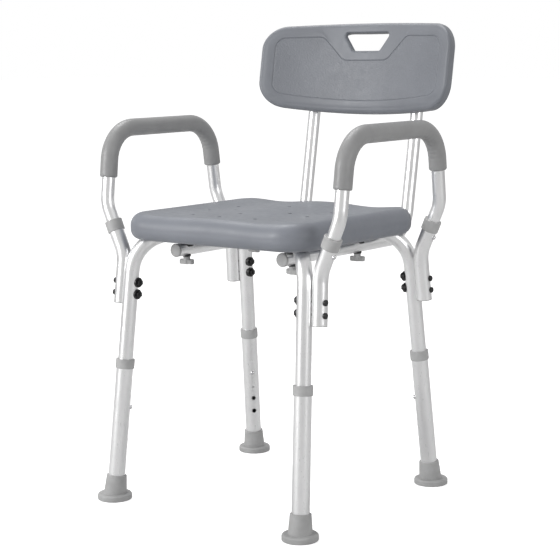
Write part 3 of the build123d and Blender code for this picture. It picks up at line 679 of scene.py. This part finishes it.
def slot_cutter(columns=160):
    """Trumpet through the hand slot, as rings of the slot's outline moved outward at each depth.

    A quarter circle makes the front lip, then comes the throat, sides that open towards the rear,
    and part of a quarter circle for the rear lip. It runs on past both faces of the panel.
    """
    base = rounded_polygon(slot_ring, slot_corner, columns)
    rear = panel_thick - slot_rear_lip
    front_turns, rear_turns = np.linspace(np.pi / 2, 0, 9), np.linspace(0.2, np.pi / 2, 7)
    past, wide = slot_past_front
    stages = [(-past, slot_lip + wide, slot_lip + wide)]
    stages += [(slot_lip * (1 - math.sin(t)), slot_lip * (1 - math.cos(t)), slot_lip * (1 - math.cos(t)))
               for t in front_turns]
    stages += [(slot_throat + (rear - slot_throat) * t, slot_flare * t, slot_rise * t)
               for t in np.linspace(0, 1, 6)]
    stages += [(rear + slot_rear_lip * math.sin(t), slot_flare + slot_rear_lip * (1 - math.cos(t)),
                slot_rise + slot_rear_lip * (1 - math.cos(t))) for t in rear_turns]
    past = slot_rear_lip + slot_past_rear
    stages += [(panel_thick + slot_past_rear, slot_flare + past, slot_rise + past)]
    stages = np.array(stages)
    flat = base + ring_normals(base) * stages[:, None, 1:]
    grid = panel_point(flat[..., 0], stages[:, :1], flat[..., 1])
    middle = base.mean(0)
    return capped(grid, *(panel_point(middle[0], depth, middle[1]) for depth in stages[[0, -1], 0]))


def settle(obj, node):
    """Moves a mesh so that its box has its middle in X and Y, and its lowest point, on a CAD node's."""
    low, high = np.array(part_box(node))
    places = np.empty(len(obj.data.vertices) * 3)
    obj.data.vertices.foreach_get("co", places)
    places = places.reshape(-1, 3)
    shift = (low + high) / 2 - (places.min(0) + places.max(0)) / 2
    shift[2] = low[2] - places[:, 2].min()
    obj.data.vertices.foreach_set("co", (places + shift).ravel())
    obj.data.update()


points, field = panel_grid()
backrest_piece = grid_mesh("backrest_panel", points, ("field", field))
backrest_cutters = [grid_mesh("hand_slot", slot_cutter())]
for side in (-1, 1):
    ends = [(side * post_x, height * math.sin(back_lean), height * math.cos(back_lean))
            for height in (post_bottom, post_top)]
    backrest_cutters.append(closed_rod("post_channel", np.array(ends) * MM, post_room * MM, 48))
carve(backrest_piece, backrest_cutters)
settle(backrest_piece, "backrest")
backrest_material, tree, grain = moulded_plastic("backrest_polyethylene", (0.195, 0.205, 0.228))
pebbled_field = tree.nodes.new("ShaderNodeAttribute")
pebbled_field.attribute_name = "field"
pebbles = tree.nodes.new("ShaderNodeTexVoronoi")
pebbles.feature = "SMOOTH_F1"
pebbles.inputs["Scale"].default_value = pebbles_a_metre
raised = tree.nodes.new("ShaderNodeMath")
raised.operation = "MULTIPLY"
tree.links.new(object_place(tree), pebbles.inputs["Vector"])
tree.links.new(pebbles.outputs["Distance"], raised.inputs[0])
tree.links.new(pebbled_field.outputs["Fac"], raised.inputs[1])
bump(tree, [(raised.outputs[0], pebble_height)] + grain)
backrest_piece.data.materials.clear()
backrest_piece.data.materials.append(backrest_material)
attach(backrest_piece, "frame")
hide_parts("backrest")


# ---- foam arm pads --------------------------------------------------------------------------------
# Each arm wears a sleeve of closed-cell foam with a smooth skin, pushed on over the top of the tube
# and glued. It bunches a little inside the two bends, and its cut ends are rounded.
pad_radius = 15.0
pad_bend = 60.0
pad_reach = 129.3
pad_foot = 145.95
pad_top = 629.6
pad_lower = 501.6
pad_front_end = 547.0
pad_rear_end = {1: 559.0, -1: 551.0}
pad_out = 2.0
pad_end_round = 3.0
pad_crease = 0.28
pad_creases_a_millimetre = 0.62


def pad_surface(side, columns=56):
    """Sleeve swept along the arm's top: radius 15 less small creases inside the bends, soft ends.

    The creases are a sine along the path, only where the path turns and only on its inner side. At
    both ends the radius falls as a quarter circle.
    """
    slant = (pad_foot - pad_reach) / (pad_top - pad_lower)
    front = [0, -pad_reach - slant * (pad_top - pad_front_end), pad_front_end]
    rear = [0, pad_reach + slant * (pad_top - pad_rear_end[side]), pad_rear_end[side]]
    corners = np.array([front, [0, -pad_reach, pad_top], [0, pad_reach, pad_top], rear], float)
    corners[:, 0] = side * pad_out * (corners[:, 2] - pad_lower) / (pad_top - pad_lower)
    route = rounded_path(corners, pad_bend, 40)
    steps = np.linalg.norm(np.diff(route, axis=0), axis=1)
    walked = np.concatenate([[0], np.cumsum(steps)])
    length = walked[-1]
    close = pad_end_round * (1 - np.cos(np.linspace(0, np.pi / 2, 7)))
    along = np.linspace(pad_end_round, length - pad_end_round, 260)[1:-1]
    wanted = np.concatenate([close, along, length - close[::-1]])
    path = np.column_stack([np.interp(wanted, walked, route[:, axis]) for axis in range(3)])
    path[1:-1] = (path[:-2] + 2 * path[1:-1] + path[2:]) / 4
    ahead = np.gradient(path, wanted, axis=0)
    ahead /= np.linalg.norm(ahead, axis=1)[:, None]
    bend = np.linalg.norm(np.gradient(ahead, wanted, axis=0), axis=1) * pad_bend
    bend = np.clip(np.convolve(bend, np.ones(9) / 9, "same"), 0, 1)
    near_end = np.clip(np.minimum(wanted, length - wanted) / pad_end_round, 0, 1)
    radius = pad_radius - pad_end_round * (1 - np.sqrt(1 - (1 - near_end) ** 2))
    inward = np.cross(ahead, [1.0, 0.0, 0.0])
    inward /= np.linalg.norm(inward, axis=1)[:, None]
    inward *= np.where(inward[:, 2:3] > 0, -1, 1)
    level = np.cross(inward, ahead)
    turn = np.linspace(0, 2 * np.pi, columns, endpoint=False)
    inner_side = np.clip(np.cos(turn), 0, 1) ** 2
    crease = pad_crease * bend[:, None] * inner_side * np.sin(wanted * pad_creases_a_millimetre)[:, None]
    turn = turn[None, :, None]
    spokes = inward[:, None] * np.cos(turn) + level[:, None] * np.sin(turn)
    grid = path[:, None] + spokes * (radius[:, None] + crease)[..., None]
    return capped(grid, path[0], path[-1]) * MM


foam_material, tree = new_material("foam_skin", (0.29, 0.29, 0.29), 0.36)
cells = tree.nodes.new("ShaderNodeTexVoronoi")
cells.inputs["Scale"].default_value = 1100
tree.links.new(object_place(tree), cells.inputs["Vector"])
bloom = spread(tree, noise(tree, 40, 5), 0, 1)
feed(tree, tint(tree, bloom, (0.275, 0.275, 0.277), (0.305, 0.305, 0.307)), "Base Color")
feed(tree, spread(tree, noise(tree, 120, 3), 0.3, 0.42), "Roughness")
bump(tree, [(cells.outputs["Distance"], 0.00012), (noise(tree, 55, 3), 0.0003)])
for side, name in ((1, "left"), (-1, "right")):
    pad = grid_mesh("arm_pad_foam_" + name, pad_surface(side))
    settle(pad, "arm_pad_" + name)
    pad.data.materials.append(foam_material)
    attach(pad, "arm_" + name)
    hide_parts("arm_pad_" + name)


# ---- grey nylon fittings ------------------------------------------------------------------------
# Collars on the legs and sockets, plugs in the open tube ends and the thumb knobs are injection
# moulded in grey nylon: a soft gloss, a very fine texture and slightly paler worn patches.
def moulded_grey(name, tone, roughness, grain, depth):
    """Injection-moulded plastic or rubber with mottled colour, uneven gloss and a fine grain."""
    material, tree = new_material(name, tone, roughness)
    dark = tuple(c * 0.9 for c in tone)
    light = tuple(c * 1.08 for c in tone)
    feed(tree, tint(tree, spread(tree, noise(tree, 60, 5), 0, 1), dark, light), "Base Color")
    gloss = spread(tree, noise(tree, 200, 3), roughness - 0.07, roughness + 0.07)
    feed(tree, gloss, "Roughness")
    bump(tree, [(noise(tree, grain, 3), depth), (noise(tree, 80, 2), 0.0001)])
    return material


dress(moulded_grey("grey_nylon", (0.42, 0.42, 0.42), 0.42, 2200, 0.00004),
      "socket_collars", "leg_collar", "back_tube_plugs", "socket_plugs", "thumb_knob")


# ---- rubber feet -----------------------------------------------------------------------------------
# Each foot is one moulding of grey rubber: a ferrule that grips the leg and a wide round sole. It is
# matt and a little dusty, and a steel washer inside keeps the tube from cutting through.
dress(moulded_grey("foot_rubber", (0.38, 0.38, 0.38), 0.62, 900, 0.00010),
      "foot_front", "foot_rear")


# ---- steel and brass fittings ---------------------------------------------------------------------
# Domed socket bolts, their washers and their nuts are blackened, and the knobs' washers and the
# saddles are black nylon. The snap buttons are polished stainless domes on spring strips, the
# screws, studs and rivet are zinc plated, and the inserts moulded into the plastic are brass.
def worked_metal(name, colour, roughness, scratches):
    """Metal with fine crossing scratches in its gloss and a slight unevenness of colour."""
    material, tree = new_material(name, colour, roughness, 1.0)
    dark = tuple(c * 0.88 for c in colour)
    feed(tree, tint(tree, spread(tree, noise(tree, 300, 4), 0, 1), dark, colour), "Base Color")
    marks = noise(tree, scratches, 3, (1, 0.15, 1))
    feed(tree, spread(tree, marks, roughness * 0.7, roughness * 1.4), "Roughness")
    bump(tree, [(marks, 0.00002)])
    return material


dress(moulded_grey("blackened_steel", (0.008, 0.008, 0.009), 0.42, 1500, 0.00003),
      "socket_bolts", "saddle_washers", "lock_nuts")
dress(moulded_grey("black_nylon", (0.02, 0.02, 0.021), 0.5, 1800, 0.00004),
      "knob_washers", "tube_saddles")
dress(worked_metal("polished_button_steel", (0.78, 0.78, 0.79), 0.12, 1500), "leg_button", "arm_button")
dress(worked_metal("spring_steel", (0.42, 0.42, 0.44), 0.3, 1200), "leg_snap_springs", "arm_snap_springs")
dress(worked_metal("zinc_plate", (0.66, 0.67, 0.69), 0.28, 1400),
      "backrest_screws", "cross_rivet", "knob_stud", "foot_washer")
dress(worked_metal("insert_brass", (0.72, 0.52, 0.24), 0.3, 1400), "threaded_inserts")
